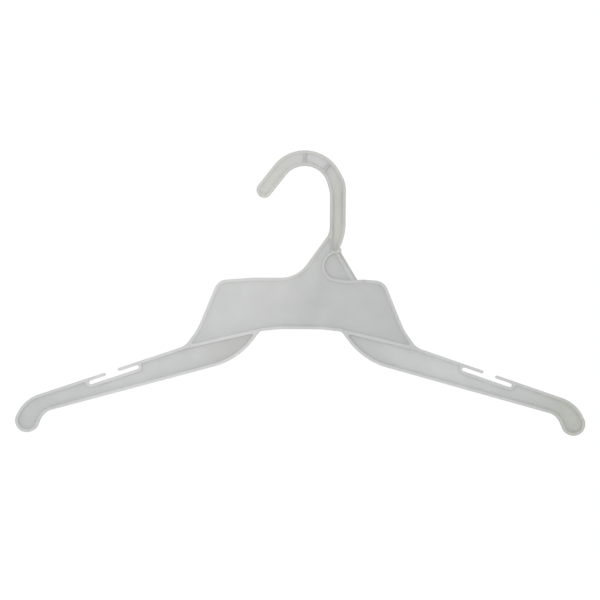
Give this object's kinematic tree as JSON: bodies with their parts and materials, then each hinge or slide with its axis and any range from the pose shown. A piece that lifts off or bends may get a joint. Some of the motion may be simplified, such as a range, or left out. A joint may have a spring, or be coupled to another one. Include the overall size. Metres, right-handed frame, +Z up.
{
  "type": "moulded clothes hanger",
  "caption": "One-shot translucent plastic dress hanger with a fixed open hook, drop shoulders, strap notches and a size tab.",
  "frame": {"origin": "centre of the hook's round seat, midway between the front and back faces of the rims", "axes": "+Z up, +X along the arms to the side of the hook's shank, the shallow face of the panel faces -Y"},
  "size_m": [0.4318, 0.005, 0.2148],
  "materials": {
    "web": "fine satin, milky translucent",
    "rim": "satin, milky translucent"
  },
  "bodies": {
    "root": {"centre_panel": "web", "hook_crown_web": "web", "hook_inner_rim": "rim", "hook_outer_rim": "rim", "hook_shank_web": "web", "hook_side_rib": "rim", "hook_tip_web": "web", "hook_top_rib": "rim", "left_arm_lower_rim": "rim", "left_arm_tip_rim": "rim", "left_arm_upper_rim": "rim", "left_arm_web": "web", "left_inner_strap_lip": "rim", "left_outer_strap_lip": "rim", "left_shoulder_rib": "rim", "left_shoulder_rim": "rim", "left_strap_notch_rim": "rim", "neck_rib": "rim", "panel_lower_rim": "rim", "right_arm_lower_rim": "rim", "right_arm_tip_rim": "rim", "right_arm_upper_rim": "rim", "right_arm_web": "web", "right_inner_strap_lip": "rim", "right_outer_strap_lip": "rim", "right_shoulder_rib": "rim", "right_shoulder_rim": "rim", "right_strap_notch_rim": "rim", "size_tab_band": "web", "size_tab_rib": "rim", "size_tab_rim": "rim", "size_tab_web": "web"}
  },
  "joints": []
}
